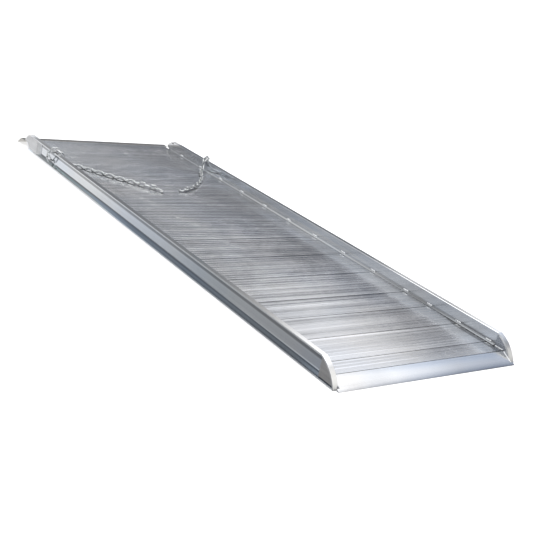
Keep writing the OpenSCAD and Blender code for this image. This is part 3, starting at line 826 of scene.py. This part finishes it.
def bead(path, outs, half_width, height, pitch=2.3, seed=0, step=0.45, sink=0.6, arc=9):
    """Rippled bead along a path, with an outward direction for each point.

    pitch: ripple spacing; step: ring spacing; sink: depth of its root; arc: points over the top.
    """
    points = [Vector(p) for p in path]
    outs = [Vector(o).normalized() for o in outs]
    reached = [0.0]
    for a, b in zip(points, points[1:]):
        reached.append(reached[-1] + (b - a).length)
    total = reached[-1]
    steps = max(6, int(total / step))
    rings = []
    for j in range(steps + 1):
        run = total * j / steps
        i = 0
        while i < len(reached) - 2 and reached[i + 1] < run:
            i += 1
        share = (run - reached[i]) / max(1e-9, reached[i + 1] - reached[i])
        centre = points[i].lerp(points[i + 1], share)
        out = outs[i].lerp(outs[i + 1], share).normalized()
        across = (points[i + 1] - points[i]).normalized().cross(out).normalized()
        # both ends are rounded off
        to_end = min(run, total - run)
        end = math.sqrt(max(0.0, 1 - max(0.0, 1 - to_end / (half_width * 0.9)) ** 2))
        end = end * 0.94 + 0.06
        wobble = 1 + 0.10 * noise.noise(Vector((run * 0.21, seed * 7.3, 1.7)))
        drift = 0.35 * noise.noise(Vector((run * 0.12, seed * 3.1, 9.0)))
        ring = []
        for k in range(arc):
            angle = math.pi * k / (arc - 1)
            # ripples lag at the sides, so they bow along the bead
            lag = (1 - math.sin(angle)) * 0.55
            jitter = 0.15 * noise.noise(Vector((run * 0.3, seed, 4)))
            crest = (1 - (run / pitch + lag + jitter) % 1.0) ** 1.5
            swell = 1 - RIPPLE + RIPPLE * crest * 1.6
            fine = 1 + 0.04 * noise.noise(Vector((run * 0.9, k * 0.8, seed * 1.9)))
            side_way = math.cos(angle) * half_width * end * wobble * (0.94 + 0.06 * crest)
            out_way = math.sin(angle) * height * end * wobble * swell * fine
            ring.append((centre + across * (side_way + drift) + out * out_way) * MM)
        root = half_width * end * wobble * 0.8
        ring.append((centre - across * root - out * sink) * MM)
        ring.append((centre + across * root - out * sink) * MM)
        rings.append(ring)
    return skin_rings(rings)


def weld_object(name, beads, replaces=None):
    mesh = solid_mesh(name, *join_parts(beads), WELD_METAL, sharp=60)
    register(add_object(name, mesh), "ramp", replaces)


# stitch welds: one at each plank joint, between the deck and the kerb
STITCH_SEEDS = {"left": (31, 0), "right": (57, 40)}     # side -> random seed, first bead seed
STITCH_X = KERB_X - 1.1
STITCH_Z = DECK_Z + 7.1
STITCH_HALF_LENGTH = 16


def build_stitches(side, sign):
    random_seed, first_seed = STITCH_SEEDS[side]
    rnd = random.Random(random_seed)
    beads = []
    for i, joint_y in enumerate(JOINT_Y):
        middle = joint_y / MM + rnd.uniform(-2.0, 2.0)
        half = STITCH_HALF_LENGTH + rnd.uniform(-2.2, 1.2)
        start = (sign * STITCH_X, middle - half, STITCH_Z)
        end = (sign * STITCH_X, middle + half, STITCH_Z + rnd.uniform(-0.3, 0.3))
        out = (-sign * 0.72, 0, 0.69)
        beads.append(bead([start, end], [out, out], half_width=5.2, height=3.1, pitch=2.6,
                          seed=i + first_seed))
    weld_object(f"{side}_stitch_beads", beads, replaces=f"{side}_stitch_welds")


# straight beads at the ground end: inset from the kerb, start and end (y from the ground edge,
# z), outward direction (inwards, y, z), half width, height, ripple pitch, seed
NOSE_BEADS = (
    (0.6, (13, 8.6), (61, 33.6), (0.62, -0.35, 0.7), 2.6, 1.7, 2.2, 71),
    (0.5, (67, DECK_Z + 0.2), (111, DECK_Z + 0.4), (0.7, 0, 0.7), 3.0, 2.1, 2.3, 77),
)
# arc of the bead inside the bowed nose strip, in the same y and z
BOW_RADIUS = 158.6
BOW_Y, BOW_Z = 168.43, -62.55
BOW_START_Y, BOW_STEP, BOW_POINTS = 104, 5.6, 15
BOW_LOWEST_Z = 27


def build_nose_beads(side, sign):
    beads = []
    for inset, start, end, (inward, out_y, out_z), half, height, pitch, seed in NOSE_BEADS:
        path = [(sign * (KERB_X - inset), y + GROUND_Y, z) for y, z in (start, end)]
        beads.append(bead(path, [(-sign * inward, out_y, out_z)] * 2, half, height,
                          pitch=pitch, seed=seed + sign))
    arc = []
    for k in range(BOW_POINTS):
        y = BOW_START_Y - BOW_STEP * k
        z = BOW_Z + math.sqrt(max(0.0, BOW_RADIUS * BOW_RADIUS - (y - BOW_Y) ** 2))
        if z > BOW_LOWEST_Z:
            arc.append((sign * (KERB_X - 0.1), y + GROUND_Y, z))
    beads.append(bead(arc, [(-sign, 0, 0)] * len(arc), half_width=1.9, height=1.0, pitch=2.0,
                      seed=83 + sign))
    weld_object(f"{side}_nose_beads", beads)


# upper end: the outer plate comes back to the rail's web in a bent return, welded to it
RETURN_Y = 2751.9 + GROUND_Y
RETURN_LOW, RETURN_HIGH = 12.9, 85.0
RETURN_LEVELS = 12
# outline in plan: outwards from the kerb face, y from RETURN_Y
RETURN_OUTLINE = [
    (24.4, 0.0), (23.9, -1.6), (22.6, -4.0), (10.2, -19.2), (8.3, -21.4), (6.1, -23.2),
    (6.1, -17.2), (7.6, -15.4), (17.6, -3.2), (18.6, -1.4), (18.6, 0.0),
]
RETURN_SEAM = (6.3, -23.4)              # the seam's place in the same plan
RETURN_SEAM_Z = (15.0, 83.5)


def build_end_return(side, sign):
    name = f"{side}_end_plate_return"
    verts = []
    for j in range(RETURN_LEVELS + 1):
        z = RETURN_LOW + (RETURN_HIGH - RETURN_LOW) * j / RETURN_LEVELS
        # slightly uneven up its height, except where it meets the plate
        pull = 0.25 * noise.noise(Vector((j * 0.6, sign * 5.0, 2.0)))
        verts += [(sign * (KERB_X + out) * MM, (RETURN_Y + y + (pull if y < -1 else 0.0)) * MM,
                   z * MM) for out, y in RETURN_OUTLINE]
    faces = prism_faces(RETURN_OUTLINE, RETURN_LEVELS + 1)
    mesh = solid_mesh(name, verts, faces, PLATE_METAL, sharp=32)
    register(add_object(name, mesh), "ramp")
    out, y = RETURN_SEAM
    seam = [(sign * (KERB_X + out), RETURN_Y + y, z) for z in RETURN_SEAM_Z]
    weld_object(f"{side}_end_plate_beads", [
        bead(seam, [(sign * 0.8, -0.6, 0)] * 2, half_width=2.7, height=1.8, seed=91 + sign)])


for side, sign in SIDES.items():
    build_stitches(side, sign)
    build_nose_beads(side, sign)
    build_end_return(side, sign)

# --------------------------------------------------------------- safety chains
CHAIN_PARTS = ("riser", "drop", "run_1", "run_2", "run_3", "run_4")
LINK_END_STEPS = 22
LINK_LEG_STEPS = 7
WIRE_SIDES = 14


def islands(obj):
    """Vertex positions of each connected piece."""
    bm = bmesh.new()
    bm.from_mesh(obj.data)
    bmesh.ops.remove_doubles(bm, verts=bm.verts, dist=1e-6)
    bm.verts.ensure_lookup_table()
    seen, pieces = set(), []
    for vert in bm.verts:
        if vert.index in seen:
            continue
        stack, piece = [vert], []
        seen.add(vert.index)
        while stack:
            current = stack.pop()
            piece.append(tuple(current.co))
            for edge in current.link_edges:
                other = edge.other_vert(current)
                if other.index not in seen:
                    seen.add(other.index)
                    stack.append(other)
        pieces.append(np.array(piece))
    bm.free()
    return pieces


def link_frame(points):
    """Centre, long axis, width axis, normal and extents of one link."""
    _, vectors = np.linalg.eigh(np.cov((points - points.mean(0)).T))
    extents, centre = [], np.zeros(3)
    for axis in (vectors[:, 2], vectors[:, 1], vectors[:, 0]):
        spread = points @ axis
        extents.append(spread.max() - spread.min())
        centre = centre + axis * (spread.max() + spread.min()) / 2
    long, wide = Vector(vectors[:, 2]), Vector(vectors[:, 1])
    normal = long.cross(wide)
    return Vector(centre), long.normalized(), wide.normalized(), normal.normalized(), extents


def link_path(half_leg, bend):
    """Stadium centre line: x, y, outward x, outward y, whether the point is on an end."""
    path = []
    for turn in (1, -1):                      # leg at +y then end at -x; leg at -y then end at +x
        for i in range(LINK_LEG_STEPS):
            x = half_leg - 2 * half_leg * i / LINK_LEG_STEPS
            path.append((turn * x, turn * bend, 0, turn, False))
        for i in range(LINK_END_STEPS):
            angle = turn * math.pi / 2 + math.pi * i / LINK_END_STEPS
            c, s = math.cos(angle), math.sin(angle)
            path.append((-turn * half_leg + bend * c, bend * s, c, s, True))
    return path


def link_mesh(extents, seed):
    """Round wire bent to a stadium: a weld upset on the +y leg, worn seats inside the ends."""
    length, width, thick = [e / MM for e in extents]
    wire = thick / 2
    bend = (width - thick) / 2
    half_leg = (length - thick) / 2 - bend
    rings = []
    for x, y, out_x, out_y, on_end in link_path(half_leg, bend):
        welded_leg = not on_end and y > 0
        upset = math.exp(-((x - 0.2) / 1.5) ** 2) if welded_leg else 0.0
        # pinched either side of the weld
        pinch = 0.10 if welded_leg and 1.6 < abs(x) < 4.6 else 0.0
        ring = []
        for k in range(WIRE_SIDES):
            angle = 2 * math.pi * k / WIRE_SIDES
            radius = wire * (1 + 0.055 * upset) - wire * pinch * 0.4
            radius *= 1 + 0.006 * noise.noise(Vector((x * 0.4, y * 0.4, angle + seed * 5.1)))
            if on_end:
                radius *= 1 - 0.035 * max(0.0, -math.cos(angle)) ** 3 * abs(out_x) ** 2
            out = math.cos(angle) * radius
            ring.append((x + out_x * out, y + out_y * out, math.sin(angle) * radius))
        rings.append(ring)
    return skin_rings(rings, loop=True)


def build_chain(node, body):
    parts = []
    for i, points in enumerate(islands(NODES[node])):
        centre, long, wide, normal, extents = link_frame(points)
        if wide.z < 0:
            wide, normal = -wide, -normal
        verts, faces = link_mesh(extents, seed=i + len(node))
        turn = Matrix((long, wide, normal)).transposed()
        parts.append(([centre + turn @ (Vector(p) * MM) for p in verts], faces))
    name = node + "_links"
    mesh = solid_mesh(name, *join_parts(parts), CHAIN_ZINC)
    register(add_object(name, mesh), body, replaces=node)


for side in SIDES:
    for part in CHAIN_PARTS:
        build_chain(f"{side}_chain_{part}", f"{side}_{part}")


# --------------------------------------------------------------- anchors (mm)
def build_anchor(side, sign):
    """A staple bent in a horizontal half circle, with a fillet bead round each foot."""
    node = f"{side}_chain_anchor"
    low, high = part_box(node)
    wire = (high.z - low.z) / 2 / MM
    middle_y = (high.y + low.y) / 2 / MM
    middle_z = (high.z + low.z) / 2 / MM
    bend = ((high.y - low.y) / MM - 2 * wire) / 2
    foot_x = min(abs(low.x), abs(high.x)) / MM
    bend_x = max(abs(low.x), abs(high.x)) / MM - wire - bend
    leg = bend_x - foot_x
    path = [(foot_x - 0.4, -bend)] + [(foot_x + leg * t, -bend) for t in (0.35, 0.7)]
    path += [(bend_x + bend * math.sin(a), -bend * math.cos(a))
             for a in [math.pi * k / 18 for k in range(19)]]
    path += [(foot_x + leg * t, bend) for t in (0.7, 0.35)] + [(foot_x - 0.4, bend)]
    points = [(sign * x * MM, (middle_y + y) * MM, middle_z * MM) for x, y in path]
    verts, faces = round_bar(points, [wire * MM] * len(points), sides=16)
    name = f"{side}_anchor_staple"
    mesh = solid_mesh(name, verts, faces, CHAIN_ZINC)
    register(add_object(name, mesh), "ramp", replaces=node)

    beads = []
    for y in (-bend, bend):
        ring, outs = [], []
        for k in range(25):
            c, s = math.cos(2 * math.pi * k / 24), math.sin(2 * math.pi * k / 24)
            ring.append((sign * (foot_x + 0.1), middle_y + y + c * (wire + 0.5),
                         middle_z + s * (wire + 0.5)))
            outs.append((sign * 0.8, c * 0.6, s * 0.6))
        beads.append(bead(ring, outs, half_width=1.7, height=1.3, pitch=1.6, seed=int(y) + 70,
                          step=0.4, arc=7, sink=0.3))
    weld_object(f"{side}_anchor_welds", beads)


for side, sign in SIDES.items():
    build_anchor(side, sign)

# --------------------------------------------------------------- hooks (mm)
HOOK_DROOP = 9          # degrees below level
HOOK_BAR = 3.5
EYE_RADIUS = 9.0
EYE_X = 2.5 + EYE_RADIUS
BEND_RADIUS = 11.0
BEND_X = EYE_X + EYE_RADIUS + 21
BEND_SWEEP = 200        # degrees
# rounded tip: share of full reach, step as a share of the radius
TIP_STEPS = ((0.45, 0.45), (0.8, 0.32), (0.97, 0.12))


def eye_part(place_at):
    rings = []
    for i in range(40):
        angle = 2 * math.pi * i / 40
        c, s = math.cos(angle), math.sin(angle)
        radius = HOOK_BAR * (0.985 + 0.015 * c)
        ring = []
        for k in range(16):
            around = 2 * math.pi * k / 16
            out = math.cos(around) * radius
            ring.append(place_at(EYE_X + EYE_RADIUS * c + c * out, EYE_RADIUS * s + s * out,
                                 math.sin(around) * radius * 0.96))
        rings.append(ring)
    return skin_rings(rings, loop=True)


def shank_part(place_at, normal):
    """Shank and bend: one bar that tapers to a blunt tip."""
    stations = []                             # x, y, radius, squash
    start_x = EYE_X + EYE_RADIUS - 2.5
    for i in range(14):
        t = i / 13
        waist = 0.40 * math.sin(math.pi * min(1, t * 1.25))
        stations.append((start_x + (BEND_X - start_x) * t, 0.0, 3.55 - waist + 0.1 * t, 0.98))
    for i in range(1, 41):
        t = i / 40
        angle = math.radians(-90 + BEND_SWEEP * t)
        swell = math.sin(math.pi * min(1, t * 1.1))
        taper = 0.75 * max(0, t - 0.62) / 0.38
        stations.append((BEND_X + BEND_RADIUS * math.cos(angle),
                         BEND_RADIUS + BEND_RADIUS * math.sin(angle),
                         3.30 + 0.22 * swell - taper, 0.98 + 0.08 * swell))
    points = [place_at(x, y) for x, y, _, _ in stations]
    radii = [station[2] for station in stations]
    squash = [station[3] for station in stations]
    heading = (points[-1] - points[-2]).normalized()
    end_radius = radii[-1]
    for reach, step in TIP_STEPS:
        points.append(points[-1] + heading * end_radius * MM * step)
        radii.append(end_radius * math.sqrt(max(0.02, 1 - reach * reach)))
        squash.append(1.0)
    return round_bar(points, [r * MM for r in radii], sides=18, normal=normal, squash=squash)


def build_hook(side):
    joint = JOINTS[f"{side}_hook_pivot"]
    pivot = Vector(joint["pos_m"])
    up = Vector((0, 0, 1))
    level = up.cross(Vector(joint["axis"]).normalized()).normalized()
    droop = math.radians(HOOK_DROOP)
    shank = (level * math.cos(droop) - up * math.sin(droop)).normalized()
    curl = -(up.cross(level)).normalized()    # the side the bend curls to
    normal = shank.cross(curl).normalized()

    def place_at(x, y, z=0.0):
        return pivot + (shank * x + curl * y + normal * z) * MM

    name = f"{side}_forged_hook"
    parts = [eye_part(place_at), shank_part(place_at, normal)]
    obj = add_object(name, solid_mesh(name, *join_parts(parts)))
    # fuse the eye and the shank into one forging
    forge = obj.modifiers.new("forge", "REMESH")
    forge.mode = "VOXEL"
    forge.voxel_size = 0.00055
    forge.use_smooth_shade = True
    soften = obj.modifiers.new("soften", "SMOOTH")
    soften.factor = 0.5
    soften.iterations = 4
    depsgraph = bpy.context.evaluated_depsgraph_get()
    fused = bpy.data.meshes.new_from_object(obj.evaluated_get(depsgraph))
    obj.modifiers.clear()
    obj.data = fused
    fused.name = name
    fused.polygons.foreach_set("use_smooth", [True] * len(fused.polygons))
    fused.materials.clear()
    fused.materials.append(HOOK_ZINC)
    register(obj, f"{side}_hook", replaces=f"{side}_chain_hook")


for side in SIDES:
    build_hook(side)

# --------------------------------------------------------------- floor and screen (metres)
STAGE_LENGTH_SCALE = {"factor": 0.25, "offset": 0.5}    # y to ramp position
FLOOR_HALF = 400.0
FLOOR_Z = -0.0004
# what the metal sees of the floor, by length: dim at the ground end, light at the far end
FLOOR_CARD = [(0.0, (0.25, 0.26, 0.28)), (0.15, (0.26, 0.27, 0.29)),
              (0.375, (0.34, 0.36, 0.38)), (0.55, (0.55, 0.57, 0.60)),
              (0.70, (0.80, 0.82, 0.84)), (1.0, (0.95, 0.95, 0.96))]
SCREEN_X = 1.6
SCREEN_Y = (-3, 7)
SCREEN_TOP = 2.0
SCREEN_RGB = (0.13, 0.14, 0.165)
# how clear the screen is, by length and by height (z * 0.5)
SCREEN_CLEAR_BY_LENGTH = [(0.0, 1.0), (0.33, 1.0), (0.42, 0.25), (0.54, 0.25), (0.63, 0.0),
                          (1.0, 0.0)]
SCREEN_CLEAR_BY_HEIGHT = {"start": 0.36, "end": 0.52}


def stage_quad(name, corners, material):
    mesh = bpy.data.meshes.new(name)
    mesh.from_pydata(corners, [], [(0, 1, 2, 3)])
    mesh.materials.append(material)
    return add_object(name, mesh)


def floor_material():
    material, tree, output = bare_material("floor_paper")
    paper = tree.node("ShaderNodeBsdfDiffuse")
    place = tree.position()
    mottle = tree.noise(place, scale=3.0, detail=3, rough=0.5)
    tree.link(tree.mix_color(mottle, (0.90, 0.90, 0.90), (0.93, 0.93, 0.93)),
              paper.inputs["Color"])
    glow = tree.node("ShaderNodeEmission")
    glow.inputs["Color"].default_value = (1, 1, 1, 1)
    glow.inputs["Strength"].default_value = 0.5
    lit = tree.node("ShaderNodeAddShader")
    tree.link(paper.outputs[0], lit.inputs[0])
    tree.link(glow.outputs[0], lit.inputs[1])
    _, y, _ = tree.axes(place)
    card = tree.node("ShaderNodeEmission")
    tree.link(tree.ramp(tree.scaled(y, **STAGE_LENGTH_SCALE), FLOOR_CARD), card.inputs["Color"])
    card.inputs["Strength"].default_value = 1.0
    glossy = tree.node("ShaderNodeLightPath").outputs["Is Glossy Ray"]
    tree.link(tree.mix_shader(glossy, lit.outputs[0], card.outputs[0]), output.inputs["Surface"])
    return material


def make_floor():
    half, z = FLOOR_HALF, FLOOR_Z
    corners = [(-half, -half, z), (half, -half, z), (half, half, z), (-half, half, z)]
    stage_quad("studio_floor", corners, floor_material())


def screen_material():
    material, tree, output = bare_material("screen_cloth")
    place = tree.position()
    _, y, z = tree.axes(place)
    cloth = tree.node("ShaderNodeEmission")
    mottle = tree.noise(place, scale=6.0, detail=2, rough=0.5)
    darker = tuple(channel * 0.94 for channel in SCREEN_RGB)
    tree.link(tree.mix_color(mottle, darker, SCREEN_RGB), cloth.inputs["Color"])
    clear = tree.node("ShaderNodeBsdfTransparent")
    by_length = tree.ramp(tree.scaled(y, **STAGE_LENGTH_SCALE), SCREEN_CLEAR_BY_LENGTH)
    by_height = tree.rise(tree.mul(z, 0.5), **SCREEN_CLEAR_BY_HEIGHT)
    mask = tree.math("MAXIMUM", by_length, by_height)
    tree.link(tree.mix_shader(mask, cloth.outputs[0], clear.outputs[0]),
              output.inputs["Surface"])
    return material


def make_screen():
    """A low dark screen along the right, seen only in the metal: it darkens the deck's right."""
    (near, far), top = SCREEN_Y, SCREEN_TOP
    corners = [(SCREEN_X, near, 0), (SCREEN_X, far, 0), (SCREEN_X, far, top),
               (SCREEN_X, near, top)]
    obj = stage_quad("studio_screen", corners, screen_material())
    obj.visible_camera = False
    obj.visible_diffuse = False
    obj.visible_shadow = False


# --------------------------------------------------------------- world, light, camera
# sine of the height above the horizon -> colour
SKY = [(0.0, (0.15, 0.155, 0.17)), (0.34, (0.18, 0.19, 0.205)), (0.50, (0.30, 0.31, 0.325)),
       (0.71, (0.75, 0.76, 0.77)), (0.87, (1.05, 1.05, 1.05)), (1.0, (1.1, 1.1, 1.1))]
# heading from +X towards +Y, height, inner and outer radius (all in degrees), colour
CARDS = (
    (30, 50, 24, 36, (1.12, 1.12, 1.13)),
    (43, 28, 5, 10, (1.25, 1.25, 1.27)),
    (76, 10, 6, 17, (0.43, 0.44, 0.46)),
    (146, 18, 10, 24, (0.55, 0.57, 0.60)),
)
FLAGS = (
    (18, 31, 8, 15, (0.44, 0.52, 0.66)),
    (-8, 32, 9, 17, (0.38, 0.44, 0.55)),
    (-75, 35, 30, 60, (0.35, 0.35, 0.37)),
)
FILLS = ((-50, 30, 15, 26, (1.05, 1.045, 1.03)),)
BLACK, WHITE = (0, 0, 0), (1, 1, 1)


def make_world():
    """Soft studio surround: graded sky, bright cards, dark flags, then a fill over the flags."""
    world = bpy.data.worlds.new("studio")
    scene.world = world
    world.use_nodes = True
    tree = Tree(world.node_tree)
    output = tree.node("ShaderNodeOutputWorld")
    background = tree.node("ShaderNodeBackground")
    direction = tree.node("ShaderNodeTexCoord").outputs["Generated"]
    _, _, height = tree.axes(direction)
    color = tree.ramp(height, SKY)
    for patches, blend, neutral in ((CARDS, "LIGHTEN", BLACK), (FLAGS, "MULTIPLY", WHITE),
                                    (FILLS, "LIGHTEN", BLACK)):
        for heading, elevation, inner, outer, level in patches:
            az, el = math.radians(heading), math.radians(elevation)
            facing = tree.node("ShaderNodeVectorMath", operation="DOT_PRODUCT")
            tree.link(direction, facing.inputs[0])
            facing.inputs[1].default_value = (math.cos(el) * math.cos(az),
                                              math.cos(el) * math.sin(az), math.sin(el))
            patch = tree.rise(facing.outputs["Value"], start=math.cos(math.radians(outer)),
                              end=math.cos(math.radians(inner)), low=neutral, high=level)
            color = tree.mix_color(1.0, color, patch, blend)
    # the camera itself sees plain white
    seen = tree.node("ShaderNodeLightPath").outputs["Is Camera Ray"]
    tree.link(tree.mix_color(seen, color, (1.0, 1.0, 1.0)), background.inputs["Color"])
    background.inputs["Strength"].default_value = 1.0
    tree.link(background.outputs[0], output.inputs["Surface"])


def make_overhead():
    light = bpy.data.lights.new("overhead", "AREA")
    light.shape = "RECTANGLE"
    light.size, light.size_y = 7, 8
    light.energy = 170
    obj = add_object("overhead", light)
    place, target = Vector((0.0, -0.5, 5.0)), Vector((0, 0, 0))
    obj.location = place
    obj.rotation_mode = "QUATERNION"
    obj.rotation_quaternion = (target - place).to_track_quat("-Z", "Y")


def make_camera():
    camera = bpy.data.cameras.new("camera")
    camera.sensor_width = 36.0
    camera.lens = 61.585
    camera.clip_start, camera.clip_end = 0.05, 3000
    obj = add_object("camera", camera)
    right = Vector((0.80420145, -0.5594067, 0.20080882))
    up = Vector((0.03712407, 0.38447673, 0.9223879))
    back = Vector((-0.59319629, -0.73433084, 0.3299642))
    pose = Matrix((right, up, back)).transposed().to_4x4()
    pose.translation = Vector((-2.5079, -3.5160, 1.3834))
    obj.matrix_world = pose
    scene.camera = obj


make_floor()
make_screen()
make_world()
make_overhead()
make_camera()
scene.view_settings.view_transform = "Standard"
scene.view_settings.look = "None"
scene.view_settings.exposure = 0.0
scene.view_settings.gamma = 1.0
